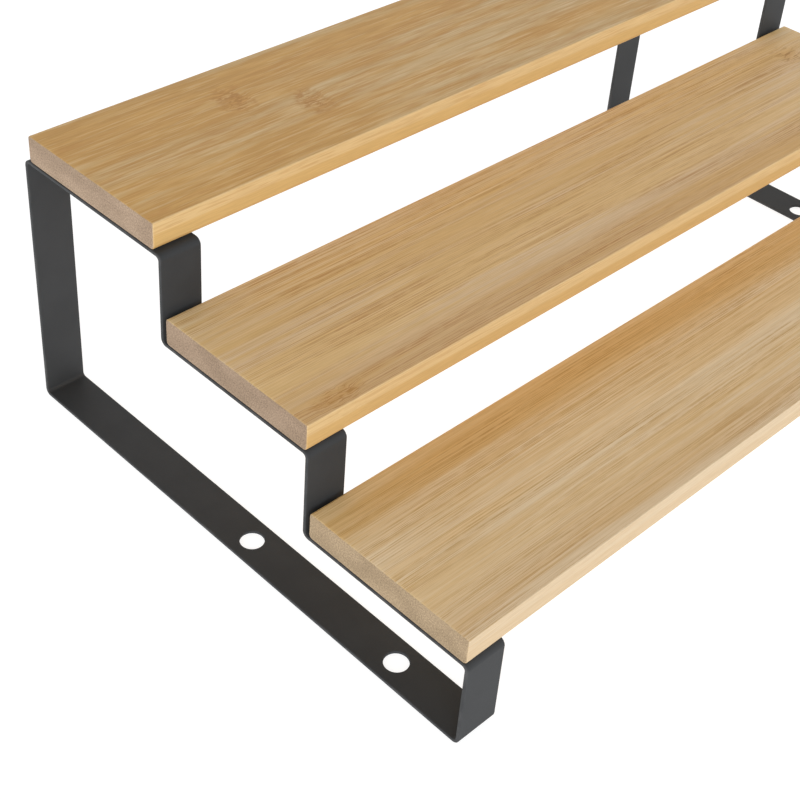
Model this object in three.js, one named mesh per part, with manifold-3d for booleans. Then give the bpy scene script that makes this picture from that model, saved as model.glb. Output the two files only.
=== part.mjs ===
// Three-step shelf riser: three bamboo boards screwed onto two bent steel side frames.
// Millimetres. +X runs along the boards, -Y is the front, +Z is up, and the origin is at the
// middle of the footprint, on the surface that the riser stands on.

import * as THREE from 'three';
import { mergeVertices } from 'three/addons/utils/BufferGeometryUtils.js';
import Module from 'manifold-3d';

const wasm = await Module();
wasm.setup();

// ---------------------------------------------------------------- driving dimensions

const LENGTH = 406;              // along X, over both side frames and along each board
const STRIP_WIDTH = 19;          // the flat strip that the side frames are bent from
const STRIP_THICKNESS = 1.5;
const BEND_RADIUS = 3;           // outside of every bend
const BEND_STEPS = 8;            // facets in one right-angled bend

const BOARD_DEPTH = 80;
const BOARD_THICKNESS = 12;
const BOARD_TOP_ROUND = 0.5;     // rounding of a board's long top edges
const BOARD_BOTTOM_ROUND = 1.8;  // rounding of its long bottom edges

// One entry for each step, from the front. height: top face of the tread. run: depth of the
// tread over the steel. lead: from the face of the leg or riser below to the board's front face.
const STEPS = [
  { name: 'front', height: 41.5, run: 83, lead: 1 },
  { name: 'middle', height: 81, run: 83, lead: 1 },
  { name: 'top', height: 120.5, run: 88, lead: 4 },
];
const ACCESS_STEPS = ['front', 'middle'];  // steps with a driver hole in the strip below
const ACCESS_HOLE_RADIUS = 5;

const SCREW_RADIUS = 1.75;
const SCREW_LENGTH = 10;         // below the head, tip included
const SCREW_TIP = 2.2;
const HEAD_RADIUS = 3.7;
const HEAD_HEIGHT = 2.2;
const RECESS_SPAN = 4.2;         // cross recess: tip to tip, slot width, depth
const RECESS_SLOT = 0.9;
const RECESS_DEPTH = 1.2;

const GAP = 0.3;                 // between pieces that meet
const HOLE_SIDES = 32;
const SCREW_SIDES = 24;
const CUT_MARGIN = 1;            // how far a cutting tool passes the faces it cuts
const MERGE_DISTANCE = 1e-4;     // corners closer than this are one corner

const DEPTH = STEPS.reduce((sum, step) => sum + step.run, 0);
const FRONT = -DEPTH / 2;        // outer face of the front leg

// ---------------------------------------------------------------- materials

const powderCoat = new THREE.MeshStandardMaterial({ color: 0x3f3f40, roughness: 0.55, metalness: 0.2 });
const bamboo = new THREE.MeshStandardMaterial({ color: 0xcfa66c, roughness: 0.5, metalness: 0 });
const blackZinc = new THREE.MeshStandardMaterial({ color: 0x2b2b2d, roughness: 0.4, metalness: 0.9 });

// ---------------------------------------------------------------- solids

// A closed three.js geometry as a solid that can be cut.
function toSolid(geometry) {
  const bare = geometry.clone();
  bare.deleteAttribute('normal');
  bare.deleteAttribute('uv');
  const merged = mergeVertices(bare, MERGE_DISTANCE);
  return new wasm.Manifold(new wasm.Mesh({
    numProp: 3,
    vertProperties: new Float32Array(merged.attributes.position.array),
    triVerts: new Uint32Array(merged.index.array),
  }));
}

function toGeometry(solid) {
  const mesh = solid.getMesh();
  const geometry = new THREE.BufferGeometry();
  geometry.setAttribute('position', new THREE.BufferAttribute(mesh.vertProperties, 3));
  geometry.setIndex(new THREE.BufferAttribute(mesh.triVerts, 1));
  geometry.computeVertexNormals();
  return geometry;
}

function cut(geometry, tools) {
  const solid = tools.reduce((rest, tool) => rest.subtract(toSolid(tool)), toSolid(geometry));
  return toGeometry(solid);
}

// A round rod along Z from z = low to z = high, centred on (x, y).
function rod(radius, x, y, low, high) {
  return new THREE.CylinderGeometry(radius, radius, high - low, HOLE_SIDES)
    .rotateX(Math.PI / 2)
    .translate(x, y, (low + high) / 2);
}

// A section drawn in the Y-Z plane, extruded along X and centred on x = 0.
function extrudeAlongX(section, width) {
  const standing = new THREE.Matrix4().makeBasis(
    new THREE.Vector3(0, 1, 0),
    new THREE.Vector3(0, 0, 1),
    new THREE.Vector3(1, 0, 0),
  );
  return new THREE.ExtrudeGeometry(section, { depth: width, bevelEnabled: false })
    .translate(0, 0, -width / 2)
    .applyMatrix4(standing);
}

// ---------------------------------------------------------------- layout of the steps

// Each step with the Y of its leg or riser face and of its board's middle, from front to back.
function layoutSteps() {
  let face = FRONT;
  return STEPS.map((step) => {
    const laidOut = { ...step, face, boardMiddle: face + step.lead + BOARD_DEPTH / 2 };
    face += step.run;
    return laidOut;
  });
}

const steps = layoutSteps();

// ---------------------------------------------------------------- side frames

// Corners of the strip's centre line in (Y, Z), anticlockwise from the front bottom corner:
// along the ground, up the rear leg, then down the steps and the front leg.
function centreLineCorners() {
  const half = STRIP_THICKNESS / 2;
  const rear = FRONT + DEPTH - half;
  const corners = [new THREE.Vector2(FRONT + half, half), new THREE.Vector2(rear, half)];
  let back = rear;
  for (const step of [...steps].reverse()) {
    const tread = step.height - half;
    corners.push(new THREE.Vector2(back, tread), new THREE.Vector2(step.face + half, tread));
    back = step.face + half;
  }
  return corners;
}

// The closed outline that lies `offset` outside the centre line, with every corner bent round.
function offsetOutline(corners, offset) {
  const bend = BEND_RADIUS - STRIP_THICKNESS / 2;
  const points = [];
  corners.forEach((corner, i) => {
    const before = corners[(i + corners.length - 1) % corners.length];
    const after = corners[(i + 1) % corners.length];
    const arriving = corner.clone().sub(before).normalize();
    const leaving = after.clone().sub(corner).normalize();
    const turn = Math.sign(arriving.cross(leaving));
    const centre = corner.clone().addScaledVector(arriving, -bend).addScaledVector(leaving, bend);
    for (let k = 0; k <= BEND_STEPS; k += 1) {
      const angle = (Math.PI / 2) * (k / BEND_STEPS);
      const reach = bend + turn * offset;
      points.push(centre.clone()
        .addScaledVector(leaving, -reach * Math.cos(angle))
        .addScaledVector(arriving, reach * Math.sin(angle)));
    }
  });
  return points;
}

function frameGeometry() {
  const corners = centreLineCorners();
  const section = new THREE.Shape(offsetOutline(corners, STRIP_THICKNESS / 2));
  section.holes.push(new THREE.Path(offsetOutline(corners, -STRIP_THICKNESS / 2)));
  const screwHoles = steps.map((step) => rod(
    SCREW_RADIUS + GAP,
    0,
    step.boardMiddle,
    step.height - STRIP_THICKNESS - CUT_MARGIN,
    step.height + CUT_MARGIN,
  ));
  const accessHoles = steps
    .filter((step) => ACCESS_STEPS.includes(step.name))
    .map((step) => rod(ACCESS_HOLE_RADIUS, 0, step.boardMiddle, -CUT_MARGIN, STRIP_THICKNESS + CUT_MARGIN));
  return cut(extrudeAlongX(section, STRIP_WIDTH), [...screwHoles, ...accessHoles]);
}

// ---------------------------------------------------------------- boards

// A board's end outline about its middle, with its long edges rounded.
function boardSection() {
  const y = BOARD_DEPTH / 2;
  const z = BOARD_THICKNESS / 2;
  const low = BOARD_BOTTOM_ROUND;
  const high = BOARD_TOP_ROUND;
  const quarter = Math.PI / 2;
  const section = new THREE.Shape();
  section.absarc(y - low, low - z, low, -quarter, 0, false);
  section.absarc(y - high, z - high, high, 0, quarter, false);
  section.absarc(high - y, z - high, high, quarter, 2 * quarter, false);
  section.absarc(low - y, low - z, low, 2 * quarter, 3 * quarter, false);
  section.closePath();
  return section;
}

// A board about its middle, with a blind pilot hole from below at each end.
function boardGeometry() {
  const underside = -BOARD_THICKNESS / 2;
  const holeEnd = underside + SCREW_LENGTH - STRIP_THICKNESS;
  const pilotHoles = [-1, 1].map((side) => rod(
    SCREW_RADIUS + GAP,
    side * (LENGTH - STRIP_WIDTH) / 2,
    0,
    underside - CUT_MARGIN,
    holeEnd,
  ));
  return cut(extrudeAlongX(boardSection(), LENGTH), pilotHoles);
}

// ---------------------------------------------------------------- screws

// A pan head screw pointing up, with the bearing face of its head at z = 0.
function screwGeometry() {
  const dome = [];
  for (let k = 0; k <= BEND_STEPS; k += 1) {
    const angle = (Math.PI / 2) * (1 - k / BEND_STEPS);
    dome.push(new THREE.Vector2(HEAD_RADIUS * Math.cos(angle), -HEAD_HEIGHT * Math.sin(angle)));
  }
  dome[0].x = 0;
  const profile = [
    ...dome,
    new THREE.Vector2(SCREW_RADIUS, 0),
    new THREE.Vector2(SCREW_RADIUS, SCREW_LENGTH - SCREW_TIP),
    new THREE.Vector2(0, SCREW_LENGTH),
  ];
  const body = new THREE.LatheGeometry(profile, SCREW_SIDES).rotateX(Math.PI / 2);
  const slotDepth = RECESS_DEPTH + CUT_MARGIN;
  const slotMiddle = -HEAD_HEIGHT + RECESS_DEPTH - slotDepth / 2;
  const slots = [
    new THREE.BoxGeometry(RECESS_SPAN, RECESS_SLOT, slotDepth),
    new THREE.BoxGeometry(RECESS_SLOT, RECESS_SPAN, slotDepth),
  ];
  return cut(body, slots.map((slot) => slot.translate(0, 0, slotMiddle)));
}

// ---------------------------------------------------------------- assembly

function placed(name, geometry, material, x, y, z) {
  const mesh = new THREE.Mesh(geometry, material.clone());
  mesh.name = name;
  mesh.position.set(x, y, z);
  return mesh;
}

function buildRiser() {
  const riser = new THREE.Group();
  const frame = frameGeometry();
  const board = boardGeometry();
  const screw = screwGeometry();
  const sides = [['left', -1], ['right', 1]];
  for (const [side, sign] of sides) {
    const x = sign * (LENGTH - STRIP_WIDTH) / 2;
    riser.add(placed(`side_frame_${side}`, frame, powderCoat, x, 0, 0));
    for (const step of steps) {
      const bearing = step.height - STRIP_THICKNESS - GAP;
      riser.add(placed(`screw_${step.name}_${side}`, screw, blackZinc, x, step.boardMiddle, bearing));
    }
  }
  for (const step of steps) {
    const z = step.height + GAP + BOARD_THICKNESS / 2;
    riser.add(placed(`shelf_board_${step.name}`, board, bamboo, 0, step.boardMiddle, z));
  }
  return riser;
}

export default buildRiser();
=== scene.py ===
import math
from functools import reduce

import bmesh
import bpy
from mathutils import Matrix, Quaternion, Vector


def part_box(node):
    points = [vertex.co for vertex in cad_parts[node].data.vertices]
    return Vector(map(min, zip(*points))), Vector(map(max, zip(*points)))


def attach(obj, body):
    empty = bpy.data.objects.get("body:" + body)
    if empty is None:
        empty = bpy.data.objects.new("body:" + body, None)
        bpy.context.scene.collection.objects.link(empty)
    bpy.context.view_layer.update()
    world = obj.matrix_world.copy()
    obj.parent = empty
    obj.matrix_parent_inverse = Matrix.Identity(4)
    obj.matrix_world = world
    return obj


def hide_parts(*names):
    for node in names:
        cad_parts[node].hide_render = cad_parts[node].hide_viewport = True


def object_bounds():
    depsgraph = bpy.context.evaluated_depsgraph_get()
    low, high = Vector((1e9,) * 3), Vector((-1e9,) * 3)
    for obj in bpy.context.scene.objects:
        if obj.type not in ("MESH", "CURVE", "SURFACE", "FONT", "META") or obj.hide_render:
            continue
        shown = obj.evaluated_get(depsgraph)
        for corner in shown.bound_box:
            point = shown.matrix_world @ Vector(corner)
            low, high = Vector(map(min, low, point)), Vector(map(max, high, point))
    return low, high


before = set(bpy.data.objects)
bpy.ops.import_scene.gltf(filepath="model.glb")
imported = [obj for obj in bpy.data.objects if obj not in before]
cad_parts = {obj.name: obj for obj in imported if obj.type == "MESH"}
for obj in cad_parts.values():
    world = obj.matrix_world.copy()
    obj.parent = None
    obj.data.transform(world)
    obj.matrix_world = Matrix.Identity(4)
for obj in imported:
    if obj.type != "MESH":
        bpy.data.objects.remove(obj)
cad_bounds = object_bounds()

# ---------------------------------------------------------------- driving dimensions

MM = 0.001                      # metres in a millimetre
STEPS = ("front", "middle", "top")
SIDES = ("left", "right")
BODY = "root"

GAP = 0.3                       # between a tread and its board, and round a screw
LEAD = {"front": 1, "middle": 1, "top": 4}  # from the leg or riser below to the board's front face
ACCESS_STEPS = ("front", "middle")          # steps with a driver hole in the strip below

BOARD_FRONT_ROUND = 0.5         # roundings of a board's long edges: front top, back top and both bottom
BOARD_BACK_ROUND = 1.2
BOARD_BOTTOM_ROUND = 1.8
BOARD_END_ROUND = 0.6
LEAST_ROUND = 0.05              # what the long edges' roundings shrink to, where the ends are drawn in
PILOT_DEPTH = 8.2
PILOT_CONE = 0.6                # height of the drill's cone at the end of a pilot hole
PILOT_TIP_RADIUS = 0.3

STRIP_THICKNESS = 1.5
STRIP_EDGE_ROUND = 0.4
BEND_RADIUS = 3                 # outside of every bend
ACCESS_HOLE_RADIUS = 5
SCREW_HOLE_RADIUS = 2.05
HOLE_RIM_ROUND = 0.35

HEAD_RADIUS = 3.7
HEAD_HEIGHT = 2.2
HEAD_SQUARENESS = 2.6           # 2 would be an ellipse; more is a flatter crown with steeper sides
THREAD_CREST = 1.72
THREAD_ROOT = 1.25
THREAD_PITCH = 1.4
THREAD_HALF_WIDTH = 0.28        # of the ridge at its foot, as a share of the pitch
THREAD_START = 0.9              # above the head's bearing face
SCREW_LENGTH = 10               # above the bearing face, tip included
SCREW_TIP = 2.6
SCREW_POINT = 0.04              # radius of the point, as a share of the thread's
RECESS_DEPTH = 1.45
RECESS_TOP = (2.5, 0.58)        # half span and half width of the recess's wings, a little outside the
RECESS_FLOOR = (1.1, 0.3)       # head's crown and at the recess's floor
RECESS_MARGIN = 0.4             # how far outside the crown the recess's cutter starts
DRIVER_TURN = 37                # degrees from one screw's recess to the next one's

ROUND_STEPS = 5                 # segments in a small rounding
BEND_STEPS = 14                 # segments in one right-angled bend
HOLE_SIDES = 64
HEAD_STEPS = 14                 # rings over a screw's head
THREAD_STEPS = 90               # rings up its thread
SCREW_SIDES = 36

CUT_MARGIN = 1                  # how far a cutting tool passes the faces it cuts
SHARP_DEGREES = 40              # edges that turn by more than this are shaded as sharp
SCREW_SHARP_DEGREES = 32

# ---------------------------------------------------------------- places, from the frame


def box(node):
    """A CAD node's lowest and highest corner, in millimetres."""
    low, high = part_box(node)
    return low / MM, high / MM


def middle(node):
    low, high = box(node)
    return (low + high) / 2


def steps_from_boards():
    """Each step's riser face, tread height and screw line, read from its board's place."""
    steps = {}
    for name in STEPS:
        low, high = box(f"shelf_board_{name}")
        steps[name] = {
            "face": low.y - LEAD[name],
            "height": low.z - GAP,
            "screw_y": (low.y + high.y) / 2,
        }
    return steps


# ---------------------------------------------------------------- mesh helpers


def add_object(name, data, place=(0, 0, 0)):
    """Links a new object at a place given in millimetres."""
    piece = bpy.data.objects.new(name, data)
    piece.location = Vector(place) * MM
    bpy.context.scene.collection.objects.link(piece)
    return piece


def to_mesh(name, shape):
    """Turns a bmesh in millimetres into a smooth-shaded mesh in metres."""
    bmesh.ops.recalc_face_normals(shape, faces=shape.faces)
    for face in shape.faces:
        face.smooth = True
    shape.transform(Matrix.Scale(MM, 4))
    mesh = bpy.data.meshes.new(name)
    shape.to_mesh(mesh)
    shape.free()
    return mesh


def loft(name, rings, closed=False):
    """A skin through rings with the same number of points, closed on itself or capped at both ends."""
    shape = bmesh.new()
    rows = [[shape.verts.new(point) for point in ring] for ring in rings]
    pairs = list(zip(rows, rows[1:]))
    if closed:
        pairs.append((rows[-1], rows[0]))
    else:
        shape.faces.new(rows[0])
        shape.faces.new(rows[-1])
    for near, far in pairs:
        for i in range(len(near)):
            j = (i + 1) % len(near)
            shape.faces.new((near[i], near[j], far[j], far[i]))
    return to_mesh(name, shape)


def arc(centre, radius, start, steps):
    """Points of a quarter circle in a plane, from an angle in degrees, anticlockwise."""
    angles = [math.radians(start + 90 * k / steps) for k in range(steps + 1)]
    return [centre + radius * Vector((math.cos(a), math.sin(a))) for a in angles]


def rounded_rectangle(half, radii):
    """Points round a rectangle about 0, anticlockwise, with a radius for each corner from the lower right."""
    points = []
    for k, (radius, across, up) in enumerate(zip(radii, (1, 1, -1, -1), (-1, 1, 1, -1))):
        centre = Vector((across * (half.x - radius), up * (half.y - radius)))
        points += arc(centre, radius, 90 * k - 90, ROUND_STEPS)
    return points


def turned(name, profile, sides, place=(0, 0, 0)):
    """An object turned about Z from (radius, height) points, capped at both ends."""
    angles = [2 * math.pi * k / sides for k in range(sides)]
    rings = [[(r * math.cos(a), r * math.sin(a), z) for a in angles] for r, z in profile]
    return add_object(name, loft(name, rings), place)


def cut(piece, cutters):
    """Cuts the cutters out of a piece's mesh and removes them."""
    for cutter in cutters:
        modifier = piece.modifiers.new("cut", "BOOLEAN")
        modifier.operation = "DIFFERENCE"
        modifier.solver = "EXACT"
        modifier.object = cutter
    graph = bpy.context.evaluated_depsgraph_get()
    piece.data = bpy.data.meshes.new_from_object(piece.evaluated_get(graph))
    piece.modifiers.clear()
    for cutter in cutters:
        bpy.data.objects.remove(cutter)


def smooth_but_sharp(mesh, sharp_degrees):
    """Shades a mesh smoothly between its sharp edges."""
    mesh.polygons.foreach_set("use_smooth", [True] * len(mesh.polygons))
    mesh.set_sharp_from_angle(angle=math.radians(sharp_degrees))


def keep_flats_flat(piece):
    """Keeps large faces flat beside smoothly shaded roundings."""
    modifier = piece.modifiers.new("flat_faces", "WEIGHTED_NORMAL")
    modifier.keep_sharp = True


def stand_for(piece, node):
    """The piece rides on the one body and replaces its CAD node."""
    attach(piece, BODY)
    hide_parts(node)


# ---------------------------------------------------------------- boards


def board_rings(half):
    """The board's outline at stations along X, drawn in at both ends so that the end edges are eased."""
    rings = []
    radii = (BOARD_BOTTOM_ROUND, BOARD_BACK_ROUND, BOARD_FRONT_ROUND, BOARD_BOTTOM_ROUND)
    easing = [math.radians(90 * k / ROUND_STEPS) for k in range(ROUND_STEPS + 1)]
    for side, angles in ((-1, easing), (1, reversed(easing))):
        for angle in angles:
            inset = BOARD_END_ROUND * (1 - math.sin(angle))
            x = side * (half.x - BOARD_END_ROUND * (1 - math.cos(angle)))
            drawn_in = [max(LEAST_ROUND, radius - inset) for radius in radii]
            outline = rounded_rectangle(Vector((half.y - inset, half.z - inset)), drawn_in)
            rings.append([(x, point.x, point.y) for point in outline])
    return rings


def pilot_hole(x, half, place):
    """A cutter for one blind hole from below, with a drill's cone at its end."""
    end = PILOT_DEPTH - half.z
    profile = [
        (SCREW_HOLE_RADIUS, -half.z - CUT_MARGIN),
        (SCREW_HOLE_RADIUS, end - PILOT_CONE),
        (PILOT_TIP_RADIUS, end),
    ]
    return turned("cutter", profile, HOLE_SIDES, place + Vector((x, 0, 0)))


def make_board(step, material):
    node = f"shelf_board_{step}"
    low, high = box(node)
    half = (high - low) / 2
    place = middle(node)
    piece = add_object(f"board_{step}", loft(f"board_{step}", board_rings(half)), place)
    screw_x = middle(f"screw_{step}_right").x
    cut(piece, [pilot_hole(side * screw_x, half, place) for side in (-1, 1)])
    smooth_but_sharp(piece.data, SHARP_DEGREES)
    keep_flats_flat(piece)
    piece.data.materials.append(material)
    stand_for(piece, node)


# ---------------------------------------------------------------- side frames


def strip_corners(steps):
    """Corners of the strip's middle line in (Y, Z), anticlockwise from the front bottom corner."""
    half = STRIP_THICKNESS / 2
    low, high = box("side_frame_left")
    corners = [Vector((low.y + half, low.z + half)), Vector((high.y - half, low.z + half))]
    back = high.y - half
    for name in reversed(STEPS):
        tread = steps[name]["height"] - half
        corners.append(Vector((back, tread)))
        back = steps[name]["face"] + half
        corners.append(Vector((back, tread)))
    return corners


def bent_path(corners):
    """Points of the middle line and its outward normals, with every corner bent round."""
    radius = BEND_RADIUS - STRIP_THICKNESS / 2
    path = []
    for i, corner in enumerate(corners):
        arriving = (corner - corners[i - 1]).normalized()
        leaving = (corners[(i + 1) % len(corners)] - corner).normalized()
        turn = math.copysign(1, arriving.cross(leaving))
        centre = corner - arriving * radius + leaving * radius
        for k in range(BEND_STEPS + 1):
            angle = math.radians(90 * k / BEND_STEPS)
            outward = arriving * math.sin(angle) - leaving * math.cos(angle)
            path.append((centre + outward * radius, outward * turn))
    return path


def frame_rings(path, half_width):
    """The strip's rounded section at every point of the path."""
    section = rounded_rectangle(Vector((half_width, STRIP_THICKNESS / 2)), [STRIP_EDGE_ROUND] * 4)
    rings = []
    for point, outward in path:
        across = [(s.x, point + outward * s.y) for s in section]
        rings.append([(x, at.x, at.y) for x, at in across])
    return rings


def rimmed_hole(radius, y, low, high):
    """A cutter through the strip from low to high that also rounds both rims of its hole."""
    rim = arc(Vector((radius + HOLE_RIM_ROUND, -HOLE_RIM_ROUND)), HOLE_RIM_ROUND, 90, ROUND_STEPS)
    upper = [(point.x, high + point.y) for point in rim]
    lower = [(point.x, low - point.y) for point in reversed(rim)]
    wide = radius + HOLE_RIM_ROUND
    profile = [(wide, high + CUT_MARGIN), *upper, *lower, (wide, low - CUT_MARGIN)]
    return turned("cutter", profile, HOLE_SIDES, (0, y, 0))


def strip_cutters(steps):
    cutters = []
    for name, step in steps.items():
        tread = step["height"]
        cutters.append(rimmed_hole(SCREW_HOLE_RADIUS, step["screw_y"], tread - STRIP_THICKNESS, tread))
        if name in ACCESS_STEPS:
            cutters.append(rimmed_hole(ACCESS_HOLE_RADIUS, step["screw_y"], 0, STRIP_THICKNESS))
    return cutters


def make_side_frame(side, steps, material):
    node = f"side_frame_{side}"
    low, high = box(node)
    rings = frame_rings(bent_path(strip_corners(steps)), (high.x - low.x) / 2)
    piece = add_object(f"frame_{side}", loft(f"frame_{side}", rings, closed=True))
    cut(piece, strip_cutters(steps))
    piece.location.x = middle(node).x * MM
    smooth_but_sharp(piece.data, SHARP_DEGREES)
    keep_flats_flat(piece)
    piece.data.materials.append(material)
    stand_for(piece, node)


# ---------------------------------------------------------------- screws


def head_profile():
    """Radius and height over the pan head, from its crown down to its bearing face."""
    profile = []
    for k in range(1, HEAD_STEPS + 1):
        angle = math.radians(90 * k / HEAD_STEPS)
        radius = HEAD_RADIUS * math.sin(angle) ** (2 / HEAD_SQUARENESS)
        height = -HEAD_HEIGHT * math.cos(angle) ** (2 / HEAD_SQUARENESS)
        profile.append((radius, height))
    return profile


def thread_radius(angle, z):
    """The shank's radius at an angle and height: a helical ridge that runs out at the neck and the tip."""
    turn = (z / THREAD_PITCH - angle / (2 * math.pi)) % 1
    ridge = max(0, 1 - abs(turn - 0.5) / THREAD_HALF_WIDTH)
    fade_in = min(1, max(0, (z - THREAD_START) / THREAD_PITCH))
    taper = min(1, (SCREW_LENGTH - z) / SCREW_TIP)
    radius = THREAD_ROOT + (THREAD_CREST - THREAD_ROOT) * ridge * fade_in
    return radius * max(SCREW_POINT, taper)


def screw_rings():
    """Rings over the head and up the threaded shank to the tip."""
    angles = [2 * math.pi * k / SCREW_SIDES for k in range(SCREW_SIDES)]
    rings = [[(r * math.cos(a), r * math.sin(a), z) for a in angles] for r, z in head_profile()]
    for k in range(THREAD_STEPS + 1):
        z = SCREW_LENGTH * k / THREAD_STEPS
        radii = [thread_radius(a, z) for a in angles]
        rings.append([(r * math.cos(a), r * math.sin(a), z) for r, a in zip(radii, angles)])
    return rings


def recess_ring(wing, z):
    """The outline of a cross with four wings, at one height."""
    span, slot = wing
    quarter = [Vector((span, -slot)), Vector((span, slot)), Vector((slot, slot))]
    ring = []
    for k in range(4):
        turn = Matrix.Rotation(math.radians(90 * k), 2)
        ring += [turn @ point for point in quarter]
    return [(point.x, point.y, z) for point in ring]


def cross_recess():
    """A cutter for the driver recess: four wings that narrow towards the bottom."""
    top = recess_ring(RECESS_TOP, -HEAD_HEIGHT - RECESS_MARGIN)
    floor = recess_ring(RECESS_FLOOR, RECESS_DEPTH - HEAD_HEIGHT)
    return add_object("cutter", loft("recess", [top, floor]))


def make_screw_mesh():
    pattern = add_object("screw_pattern", loft("screw", screw_rings()))
    cut(pattern, [cross_recess()])
    mesh = pattern.data
    bpy.data.objects.remove(pattern)
    smooth_but_sharp(mesh, SCREW_SHARP_DEGREES)
    return mesh


def make_screws(material):
    """Six screws from one mesh, each left turned as its driver left it."""
    mesh = make_screw_mesh()
    mesh.materials.append(material)
    for k, (step, side) in enumerate((step, side) for step in STEPS for side in SIDES):
        node = f"screw_{step}_{side}"
        place = middle(node)
        place.z = box(node)[0].z + HEAD_HEIGHT
        piece = add_object(f"fixing_{step}_{side}", mesh, place)
        piece.rotation_euler.z = math.radians(DRIVER_TURN * k)
        keep_flats_flat(piece)
        stand_for(piece, node)


# ---------------------------------------------------------------- node helpers


class Shader:
    """A node material in the making. Each method adds nodes and gives back an output socket."""

    def __init__(self, name):
        self.material = bpy.data.materials.new(name)
        self.material.use_nodes = True
        self.tree = self.material.node_tree
        self.surface = self.tree.nodes["Principled BSDF"]

    def feed(self, socket, value):
        if isinstance(value, bpy.types.NodeSocket):
            self.tree.links.new(value, socket)
        else:
            socket.default_value = value

    def add(self, kind, inputs, **settings):
        node = self.tree.nodes.new(kind)
        for name, value in settings.items():
            setattr(node, name, value)
        for key, value in inputs.items():
            self.feed(node.inputs[key], value)
        return node

    def millimetres(self):
        """The point's place in the piece's own frame, in millimetres."""
        place = self.add("ShaderNodeTexCoord", {}).outputs["Object"]
        return self.mapped(place, scale=(1 / MM, 1 / MM, 1 / MM))

    def mapped(self, vector, scale=(1, 1, 1), shift=(0, 0, 0)):
        inputs = {"Vector": vector, "Scale": scale, "Location": shift}
        return self.add("ShaderNodeMapping", inputs).outputs[0]

    def split(self, vector):
        return self.add("ShaderNodeSeparateXYZ", {0: vector}).outputs

    def grain(self, vector, scale, shift=(0, 0, 0), detail=2, roughness=0.5, distortion=0):
        """Noise that is stretched by a different scale, per millimetre, on each axis."""
        inputs = {"Vector": self.mapped(vector, scale, shift), "Scale": 1, "Detail": detail}
        inputs.update({"Roughness": roughness, "Distortion": distortion})
        return self.add("ShaderNodeTexNoise", inputs).outputs[0]

    def maths(self, operation, a, b=0.0, clamp=False):
        return self.add("ShaderNodeMath", {0: a, 1: b}, operation=operation, use_clamp=clamp).outputs[0]

    def product(self, *values):
        return reduce(lambda a, b: self.maths("MULTIPLY", a, b), values)

    def total(self, *values):
        return reduce(lambda a, b: self.maths("ADD", a, b), values)

    def ramp(self, value, start, end, low=0.0, high=1.0):
        """Goes smoothly from low to high while the value goes from start to end."""
        inputs = {"Value": value, "From Min": start, "From Max": end, "To Min": low, "To Max": high}
        return self.add("ShaderNodeMapRange", inputs, interpolation_type="SMOOTHSTEP").outputs[0]

    def mix(self, factor, a, b, blend="MIX"):
        inputs = {0: factor, 6: a, 7: b}
        return self.add("ShaderNodeMix", inputs, data_type="RGBA", blend_type=blend).outputs[2]

    def tint(self, colour, factor, low, high):
        """Multiplies a colour by one that goes from low to high with the factor."""
        return self.mix(1.0, colour, self.mix(factor, low, high), "MULTIPLY")

    def bump(self, height, distance, strength, below=None):
        inputs = {"Height": height, "Distance": distance * MM, "Strength": strength}
        if below is not None:
            inputs["Normal"] = below
        return self.add("ShaderNodeBump", inputs).outputs[0]

    def finish(self, **sockets):
        """Sets or links the surface's sockets; an underscore in a name stands for a space."""
        for name, value in sockets.items():
            self.feed(self.surface.inputs[name.replace("_", " ")], value)
        return self.material


def rgb(red, green, blue):
    return (red, green, blue, 1)


WHITE = rgb(1, 1, 1)


# ---------------------------------------------------------------- bamboo

# For each board: where its grain is cut from the endless pattern; the length and width of its fibre
# lines and of its bands, and how strongly each shows; its colours, of which back and fore are factors for
# the bands along its long edges; how strongly curled fibres show at its nodes; and its node marks, each a
# place (x, y) from the board's middle and half sizes along and across the grain.
BOARD_LOOKS = {
    "top": {
        "shift": (31, 7, 3),
        "line_size": (24, 0.9),
        "line_depth": 0.4,
        "band_size": (35, 3.5),
        "band_depth": 0.95,
        "tan": rgb(0.575, 0.398, 0.185),
        "gold": rgb(0.59, 0.335, 0.09),
        "line": rgb(0.47, 0.2, 0.03),
        "back": rgb(1, 1, 1),
        "fore": rgb(1, 1, 1),
        "front_upper": rgb(0.70, 0.49, 0.235),
        "front_lower": rgb(0.645, 0.415, 0.16),
        "end": rgb(0.33, 0.24, 0.165),
        "curl": 0.8,
        "marks": [(-122, 13, 9, 14), (-96, -8, 9, 13), (96, 24, 9, 10), (150, -22, 9, 12)],
    },
    "middle": {
        "shift": (-57, 41, 12),
        "line_size": (90, 0.4),
        "line_depth": 0.78,
        "band_size": (100, 2.8),
        "band_depth": 0.35,
        "tan": rgb(0.74, 0.543, 0.325),
        "gold": rgb(0.755, 0.51, 0.225),
        "line": rgb(0.52, 0.26, 0.08),
        # Painted light on this board: its back band is lightened where the riser and the top board shade it,
        # and its front band is darkened.
        "back": rgb(1.09, 1.11, 1.09),
        "fore": rgb(0.845, 0.755, 0.60),
        "front_upper": rgb(0.71, 0.50, 0.245),
        "front_lower": rgb(0.635, 0.405, 0.16),
        "end": rgb(0.30, 0.215, 0.145),
        "curl": 0.15,
        "marks": [(-184, -34.5, 15, 6), (176, 18, 9, 11)],
    },
    "front": {
        "shift": (83, -23, 27),
        "line_size": (90, 0.33),
        "line_depth": 0.74,
        "band_size": (100, 2.8),
        "band_depth": 0.2,
        "tan": rgb(0.85, 0.665, 0.43),
        "gold": rgb(0.80, 0.56, 0.28),
        "line": rgb(0.57, 0.32, 0.095),
        "back": rgb(0.955, 0.87, 0.69),
        "fore": rgb(0.90, 0.865, 0.83),
        "front_upper": rgb(0.67, 0.525, 0.345),
        "front_lower": rgb(0.65, 0.485, 0.295),
        "end": rgb(0.345, 0.255, 0.155),
        "curl": 0.6,
        "marks": [(62, -8, 9, 12), (140, 26, 9, 10)],
    },
}
MARK_BROWN = rgb(0.43, 0.19, 0.03)
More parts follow.
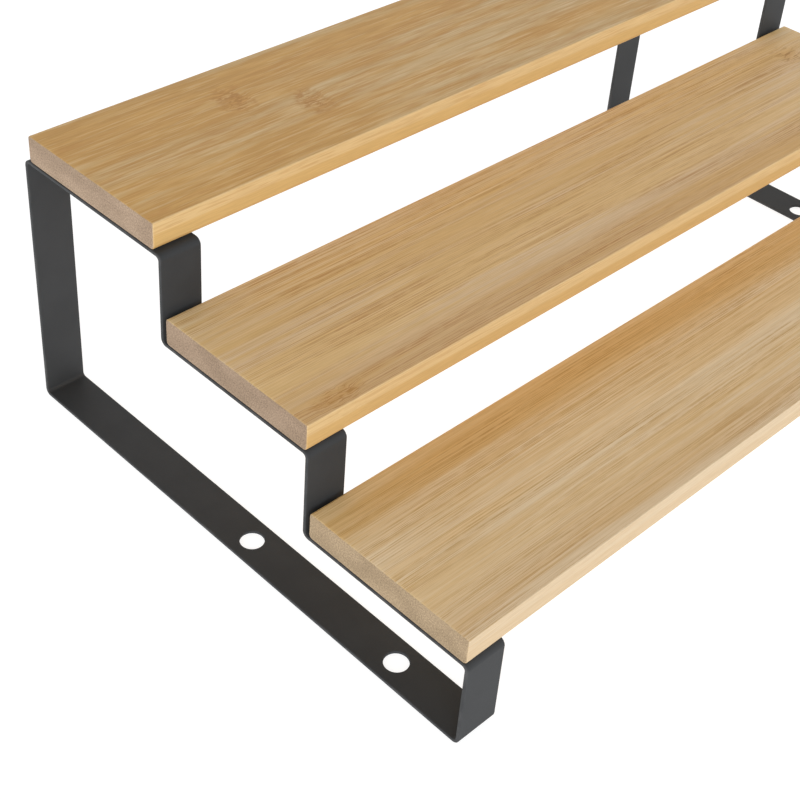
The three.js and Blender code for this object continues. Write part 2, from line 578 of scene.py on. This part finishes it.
# A cream for pale grain lines, and for the painted highlight along the boards' edges.
PALE_LINE_AND_HIGHLIGHT_CREAM = rgb(0.82, 0.64, 0.4)
BACK_BAND = 25                  # width of the bands along a board's back and front edges that have
FORE_BAND = 27                  # tints of their own
STRIP_OF_WOOD = 27              # width of one glued strip
FINE_DEPTH = 0.7                # how strongly the hair-fine grain shows
PALE_LINES = 0.6                # how strongly pale lines show, as a share of the dark ones
MARK_HALF_HEIGHT = 20
KNOT_SWERVE = 3.0               # how far fibres are pushed aside where they pass a node
PLY_JOINT = 0.8                 # height of the joint that shows on a front face, above the middle
BOTTOM_LINE = 1.5               # height of the dark line above a front face's lower edge


def near_marks(shader, place, marks):
    """1 in the middle of each node mark, falling unevenly to 0 at its rim."""
    ragged = shader.grain(place, (0.18, 0.18, 0.18), detail=2)
    near = 0.0
    for x, y, half_length, half_width in marks:
        size = (1 / half_length, 1 / half_width, 1 / MARK_HALF_HEIGHT)
        local = shader.mapped(place, size, (-x * size[0], -y * size[1], 0))
        reach = shader.add("ShaderNodeVectorMath", {0: local}, operation="LENGTH").outputs["Value"]
        reach = shader.total(reach, shader.product(ragged, 0.9))
        near = shader.maths("ADD", shader.ramp(reach, 0.8, 1.6, 1.0, 0.0), near, clamp=True)
    return near


def fibre_place(shader, place, marks, shift):
    """Places along the fibres, which wander a little, and more where they pass a node."""
    wander = shader.grain(place, (0.012, 0.05, 0.05), shift, detail=1)
    knot = shader.grain(place, (0.16, 0.12, 0.12), shift, detail=1)
    swerve = shader.total(wander, shader.product(knot, marks, KNOT_SWERVE))
    across = shader.add("ShaderNodeCombineXYZ", {"Y": swerve}).outputs[0]
    return shader.add("ShaderNodeVectorMath", {0: place, 1: across}, operation="ADD").outputs[0]


def fibre_patterns(shader, fibre, look):
    """Hair-fine grain, bands at two widths, and thin broken lines that crowd in places."""
    shift = look["shift"]
    line_length, line_width = look["line_size"]
    band_length, band_width = look["band_size"]
    fine = shader.grain(fibre, (0.08, 2.2, 2.2), shift, detail=2, roughness=0.6)
    band_scale = (1 / band_length, 1 / band_width, 1 / band_width)
    bands = shader.grain(fibre, band_scale, shift, detail=2, roughness=0.6)
    broad = shader.grain(fibre, (0.003, 0.06, 0.06), shift, detail=2)
    line_scale = (1 / line_length, 1 / line_width, 1 / line_width)
    thin = shader.grain(fibre, line_scale, shift, detail=2, roughness=0.5)
    crowded = shader.ramp(shader.grain(fibre, (0.009, 0.1, 0.1), shift, detail=1), 0.36, 0.6, 0.25, 1.0)
    broken = shader.ramp(shader.grain(fibre, (0.12, 0.5, 0.5), shift, detail=1), 0.3, 0.6, 0.45, 1.0)
    lines = shader.product(shader.ramp(thin, 0.5, 0.57), crowded, broken)
    pale = shader.product(shader.ramp(thin, 0.43, 0.36), broken)
    return {"fine": fine, "bands": bands, "broad": broad, "lines": lines, "pale": pale}


def swing(depth):
    """The palest and the darkest shade, as factors, of a pattern that shows with this depth."""
    pale = rgb(1 + 0.06 * depth, 1 + 0.06 * depth, 1 + 0.07 * depth)
    dark = rgb(1 - 0.06 * depth, 1 - 0.085 * depth, 1 - 0.13 * depth)
    return pale, dark


def fibre_colour(shader, patterns, look):
    """Greyish tan and gold side by side at nearly one brightness, with thin lines between them."""
    bands = patterns["bands"]
    mixed = shader.total(patterns["broad"], shader.product(bands, 0.6))
    colour = shader.mix(shader.ramp(mixed, 0.62, 0.95), look["tan"], look["gold"])
    colour = shader.tint(colour, shader.ramp(bands, 0.35, 0.65), *swing(look["band_depth"]))
    colour = shader.tint(colour, shader.ramp(patterns["fine"], 0.35, 0.65), *swing(FINE_DEPTH))
    pale = shader.product(patterns["pale"], PALE_LINES * look["line_depth"])
    colour = shader.mix(pale, colour, PALE_LINE_AND_HIGHLIGHT_CREAM)
    lines = shader.product(patterns["lines"], look["line_depth"])
    return shader.mix(lines, colour, look["line"])


def strip_tones(shader, colour, fibre, bands, half, look):
    """Each glued strip a little lighter or darker, and the tints along the back and front edges."""
    y = shader.split(fibre)[1]
    # Ten strips on, so that every strip's number is above 0.
    across = shader.total(y, look["shift"][0] + 10 * STRIP_OF_WOOD)
    strip = shader.maths("FLOOR", shader.maths("DIVIDE", across, STRIP_OF_WOOD))
    chance = shader.add("ShaderNodeTexWhiteNoise", {"W": strip}, noise_dimensions="1D").outputs["Value"]
    colour = shader.tint(colour, chance, rgb(0.965, 0.96, 0.945), rgb(1.035, 1.04, 1.055))
    y = shader.total(y, shader.product(bands, 5.0))
    back = shader.ramp(y, half.y - BACK_BAND, half.y - BACK_BAND / 4)
    fore = shader.ramp(y, FORE_BAND - half.y, FORE_BAND / 3 - half.y)
    # On the middle board these two tints are painted light: a lighter back band where the riser and top board
    # shade it, and a darker front band.
    colour = shader.tint(colour, back, WHITE, look["back"])
    return shader.tint(colour, fore, WHITE, look["fore"])


def add_curls(shader, colour, place, marks, look):
    """Node marks: broken brown strokes, dashes and blotches, where fibres turn round each other."""
    shift = look["shift"]
    curl = shader.grain(place, (0.22, 0.3, 0.3), shift, detail=2, roughness=0.6, distortion=1.2)
    broken = shader.ramp(shader.grain(place, (0.35, 0.5, 0.5), shift, detail=1), 0.38, 0.58)
    off_ridge = shader.maths("ABSOLUTE", shader.maths("SUBTRACT", curl, 0.52))
    stroke = shader.product(shader.ramp(off_ridge, 0.015, 0.07, look["curl"], 0.0), broken, marks)
    dash = shader.ramp(shader.grain(place, (0.17, 0.95, 0.95), shift, detail=1), 0.52, 0.62)
    dash = shader.product(dash, marks)
    blotch = shader.product(shader.ramp(curl, 0.5, 0.64), marks)
    colour = shader.tint(colour, marks, WHITE, rgb(0.97, 0.92, 0.82))
    colour = shader.mix(shader.product(blotch, 0.5 * look["curl"]), colour, MARK_BROWN)
    colour = shader.mix(shader.product(dash, 0.75), colour, MARK_BROWN)
    return shader.mix(stroke, colour, MARK_BROWN), stroke


def front_face(shader, colour, place, patterns, half, look):
    """The front face, where the grain lines are faint, a ply joint shows and a dark line runs low down."""
    y, z = shader.split(place)[1:]
    upper = shader.ramp(z, PLY_JOINT - 0.5, PLY_JOINT + 0.5)
    face = shader.mix(upper, look["front_lower"], look["front_upper"])
    fine = shader.ramp(patterns["fine"], 0.3, 0.7)
    face = shader.tint(face, fine, rgb(1.05, 1.05, 1.05), rgb(0.94, 0.925, 0.9))
    lines = shader.product(patterns["lines"], shader.total(upper, 0.3), 0.25)
    face = shader.mix(lines, face, look["line"])
    off_line = shader.maths("ABSOLUTE", shader.total(z, half.z - BOTTOM_LINE))
    broken = shader.ramp(patterns["bands"], 0.2, 0.6)
    low_line = shader.product(shader.ramp(off_line, 0.05, 0.4, 1.0, 0.0), broken)
    face = shader.mix(shader.product(low_line, 0.35), face, look["line"])
    return shader.mix(shader.ramp(y, 0.5 - half.y, 0.1 - half.y), colour, face)


def end_grain(shader, place, look):
    """End grain: bundles of fibres, cut across, as fine pale and dark specks in slow clouds."""
    shift = look["shift"]
    mottle = shader.grain(place, (1.0, 1.8, 1.5), shift, detail=2, roughness=0.7)
    cloud = shader.grain(place, (0.02, 0.06, 0.12), shift, detail=2)
    speckled = shader.ramp(mottle, 0.3, 0.7)
    colour = shader.tint(look["end"], speckled, rgb(0.7, 0.68, 0.65), rgb(1.3, 1.3, 1.32))
    clouded = shader.ramp(cloud, 0.3, 0.7)
    return shader.tint(colour, clouded, rgb(0.9, 0.89, 0.88), rgb(1.1, 1.1, 1.11)), mottle


def nearest_edge(shader, place, half):
    """How far a point is from the board's nearest edge: the second smallest of its distances to faces."""
    axes = zip(shader.split(place), half)
    x, y, z = [shader.maths("SUBTRACT", size, shader.maths("ABSOLUTE", at)) for at, size in axes]
    nearer = shader.maths("MINIMUM", x, y)
    farther = shader.maths("MAXIMUM", x, y)
    return shader.maths("MAXIMUM", nearer, shader.maths("MINIMUM", farther, z))


def highlit_rubbed_edges(shader, place, half, shift):
    """1 where a board's edges take the most painted highlight and rubbing, which comes in patches along them.
    """
    edge = shader.ramp(nearest_edge(shader, place, half), 0.1, 0.8, 1.0, 0.0)
    patchy = shader.ramp(shader.grain(place, (0.06, 0.2, 0.2), shift, detail=3), 0.35, 0.65, 0.2, 1.0)
    return shader.product(edge, patchy)


def board_roughness(shader, fine, end, highlit_and_worn):
    """Satin with the grain in it, duller at the ends and smoother where edges are rubbed."""
    weighted = [shader.product(fine, 0.2), shader.product(end, 0.25), shader.product(highlit_and_worn, -0.08)]
    return shader.total(0.42, *weighted)


def board_relief(shader, patterns, stroke, end, end_tone):
    """Shallow furrows along the fibres, and the rougher sawn surface at the ends."""
    furrows = shader.product(shader.total(patterns["lines"], stroke), -0.12)
    fine = shader.product(patterns["fine"], 0.6)
    bands = shader.product(patterns["bands"], 0.4)
    grain = shader.bump(shader.total(fine, bands, furrows), 0.12, 0.35)
    return shader.bump(shader.product(end_tone, end), 0.2, 0.3, grain)


def bamboo(name, half, look):
    """Laminated bamboo: fibres, node marks, a plainer front face, end grain, rubbed edges and a painted edge
    highlight.
    """
    shader = Shader(name)
    place = shader.millimetres()
    marks = near_marks(shader, place, look["marks"])
    fibre = fibre_place(shader, place, marks, look["shift"])
    patterns = fibre_patterns(shader, fibre, look)
    colour = fibre_colour(shader, patterns, look)
    colour = strip_tones(shader, colour, fibre, patterns["bands"], half, look)
    colour, stroke = add_curls(shader, colour, place, marks, look)
    colour = front_face(shader, colour, place, patterns, half, look)

    end_colour, end_tone = end_grain(shader, place, look)
    beyond = shader.maths("SUBTRACT", shader.maths("ABSOLUTE", shader.split(place)[0]), half.x)
    end = shader.ramp(beyond, -BOARD_END_ROUND * 0.6, -BOARD_END_ROUND * 0.1)
    colour = shader.mix(end, colour, end_colour)

    highlit_and_worn = highlit_rubbed_edges(shader, place, half, look["shift"])
    # Painted highlight: the board's edges are lightened towards cream, in patches.
    colour = shader.mix(shader.product(highlit_and_worn, 0.18), colour, PALE_LINE_AND_HIGHLIGHT_CREAM)
    rough = board_roughness(shader, patterns["fine"], end, highlit_and_worn)
    relief = board_relief(shader, patterns, stroke, end, end_tone)
    return shader.finish(Base_Color=colour, Roughness=rough, Normal=relief, Specular_IOR_Level=0.35)


# ---------------------------------------------------------------- metals


COAT_DARK = rgb(0.0315, 0.0338, 0.0362)
COAT_PALE = rgb(0.0395, 0.0419, 0.0447)
COAT_PEBBLE = rgb(0.045, 0.047, 0.05)
COAT_SPECK = rgb(0.085, 0.085, 0.087)
COAT_RUBBED = rgb(0.075, 0.075, 0.077)
RUBBED_EDGE = 0.9               # width of the strip's edges that can be rubbed
ZINC_DARK = rgb(0.05, 0.05, 0.056)
ZINC_PALE = rgb(0.105, 0.1, 0.098)
ZINC_RUBBED = rgb(0.3, 0.29, 0.28)
TURNING_MARKS = 34.0            # radians of a turning mark's wave in each millimetre of radius


def powder_coat(half_width):
    """Matt charcoal powder coat: fine pebbled skin, faint clouds, and edges that are slightly rubbed."""
    shader = Shader("powder_coat")
    place = shader.millimetres()
    pebble = shader.grain(place, (1.9, 1.9, 1.9), detail=3, roughness=0.6)
    cloud = shader.grain(place, (0.05, 0.05, 0.05), detail=3)
    specks = shader.ramp(shader.grain(place, (3.1, 3.1, 3.1), (9, 4, 2), detail=1), 0.66, 0.76)
    colour = shader.mix(shader.ramp(cloud, 0.3, 0.7), COAT_DARK, COAT_PALE)
    colour = shader.mix(shader.product(pebble, 0.5), colour, COAT_PEBBLE)
    colour = shader.mix(shader.product(specks, 0.25), colour, COAT_SPECK)

    across = shader.maths("ABSOLUTE", shader.split(place)[0])
    rim = shader.ramp(across, half_width - RUBBED_EDGE, half_width - 0.1)
    patches = shader.grain(place, (0.3, 0.09, 0.09), (3, 8, 5), detail=4, roughness=0.65)
    rubbed = shader.product(rim, shader.ramp(patches, 0.42, 0.66))
    colour = shader.mix(shader.product(rubbed, 0.5), colour, COAT_RUBBED)

    weighted = [shader.product(pebble, 0.14), shader.product(cloud, 0.06), shader.product(rubbed, -0.1)]
    rough = shader.total(0.52, *weighted)
    skin = shader.bump(pebble, 0.06, 0.4)
    return shader.finish(Base_Color=colour, Roughness=rough, Normal=skin, Specular_IOR_Level=0.25)


def black_zinc():
    """Dark plated steel, with turning marks round the head and a few bright rubs."""
    shader = Shader("black_zinc")
    place = shader.millimetres()
    x, y = shader.split(place)[:2]
    radius = shader.maths("SQRT", shader.total(shader.product(x, x), shader.product(y, y)))
    ring = shader.maths("SINE", shader.product(radius, TURNING_MARKS))
    blotch = shader.grain(place, (0.9, 0.9, 0.9), detail=4, roughness=0.6)
    colour = shader.mix(shader.ramp(blotch, 0.3, 0.7), ZINC_DARK, ZINC_PALE)
    rub = shader.ramp(shader.grain(place, (3.5, 3.5, 0.9), (1, 6, 3), detail=3), 0.6, 0.72)
    colour = shader.mix(shader.product(rub, 0.4), colour, ZINC_RUBBED)
    rough = shader.total(shader.product(blotch, 0.25), 0.25)
    skin = shader.bump(shader.total(shader.product(ring, 0.25), blotch), 0.03, 0.3)
    return shader.finish(Base_Color=colour, Roughness=rough, Normal=skin, Metallic=0.95)


# ---------------------------------------------------------------- stage, light and camera

FLOOR_HALF_SIZE = 8000
FLOOR_DROP = 0.05               # how far the floor lies below the feet
FLOOR_GLOW = 0.85
WALL_LIGHT = 1.02
CEILING_LIGHT = 0.1
WALL_TOP = 0.5                  # heights of the directions, from 0 to 1, between which the walls' light
CEILING_START = 0.9             # falls to the ceiling's


def add_floor():
    """A large pale floor that glows, so that it is as white as the walls and shadows on it stay faint."""
    shader = Shader("floor")
    cloud = shader.grain(shader.millimetres(), (0.002, 0.002, 0.002), detail=2)
    colour = shader.mix(cloud, rgb(0.29, 0.29, 0.29), rgb(0.32, 0.32, 0.32))
    material = shader.finish(
        Base_Color=colour, Roughness=0.9, Emission_Color=WHITE, Emission_Strength=FLOOR_GLOW
    )
    shape = bmesh.new()
    bmesh.ops.create_grid(shape, x_segments=1, y_segments=1, size=FLOOR_HALF_SIZE)
    floor = add_object("floor", to_mesh("floor", shape), (0, 0, cad_bounds[0].z / MM - FLOOR_DROP))
    floor.data.materials.append(material)


def add_world():
    """White studio walls that reach the horizon, under a dimmer ceiling."""
    world = bpy.data.worlds.new("studio")
    world.use_nodes = True
    tree = world.node_tree
    direction = tree.nodes.new("ShaderNodeTexCoord").outputs["Generated"]
    split = tree.nodes.new("ShaderNodeSeparateXYZ")
    fall = tree.nodes.new("ShaderNodeMapRange")
    fall.inputs["From Min"].default_value = WALL_TOP
    fall.inputs["From Max"].default_value = CEILING_START
    fall.inputs["To Min"].default_value = WALL_LIGHT
    fall.inputs["To Max"].default_value = CEILING_LIGHT
    tree.links.new(direction, split.inputs[0])
    tree.links.new(split.outputs["Z"], fall.inputs["Value"])
    background = tree.nodes["Background"]
    background.inputs["Color"].default_value = WHITE
    tree.links.new(fall.outputs[0], background.inputs["Strength"])
    bpy.context.scene.world = world


def add_sun(name, azimuth, elevation, strength, softness):
    """A sun with soft shadows. Azimuth 0 shines from the front and 90 from the right; angles in degrees."""
    data = bpy.data.lights.new(name, "SUN")
    data.energy = strength
    data.angle = math.radians(softness)
    sun = add_object(name, data)
    turn = math.radians(azimuth)
    rise = math.radians(elevation)
    towards = Vector((math.sin(turn) * math.cos(rise), -math.cos(turn) * math.cos(rise), math.sin(rise)))
    sun.rotation_mode = "QUATERNION"
    sun.rotation_quaternion = towards.to_track_quat("Z", "Y")


def add_camera():
    """The photo's viewpoint: above and left of the front, close to the left ends of the boards."""
    data = bpy.data.cameras.new("camera")
    data.sensor_width = 36
    data.lens = 69.75
    data.shift_y = -0.1
    data.clip_start = 0.01
    place = Vector((-480.1, -341.8, 446.6))
    aim = Vector((-112.4, 1.7, 70))
    roll = math.radians(4.56)
    camera = add_object("camera", data, place)
    camera.rotation_mode = "QUATERNION"
    camera.rotation_quaternion = (aim - place).to_track_quat("-Z", "Y") @ Quaternion((0, 0, 1), roll)
    bpy.context.scene.camera = camera


# ---------------------------------------------------------------- assembly


def make_riser():
    steps = steps_from_boards()
    for step in STEPS:
        low, high = box(f"shelf_board_{step}")
        make_board(step, bamboo(f"bamboo_{step}", (high - low) / 2, BOARD_LOOKS[step]))
    low, high = box("side_frame_left")
    coat = powder_coat((high.x - low.x) / 2)
    for side in SIDES:
        make_side_frame(side, steps, coat)
    make_screws(black_zinc())


make_riser()
add_floor()
add_world()
add_sun("key", azimuth=-50, elevation=18, strength=1.45, softness=50)
add_sun("rim", azimuth=147, elevation=40, strength=0.3, softness=60)
add_camera()
bpy.context.scene.view_settings.view_transform = "Standard"
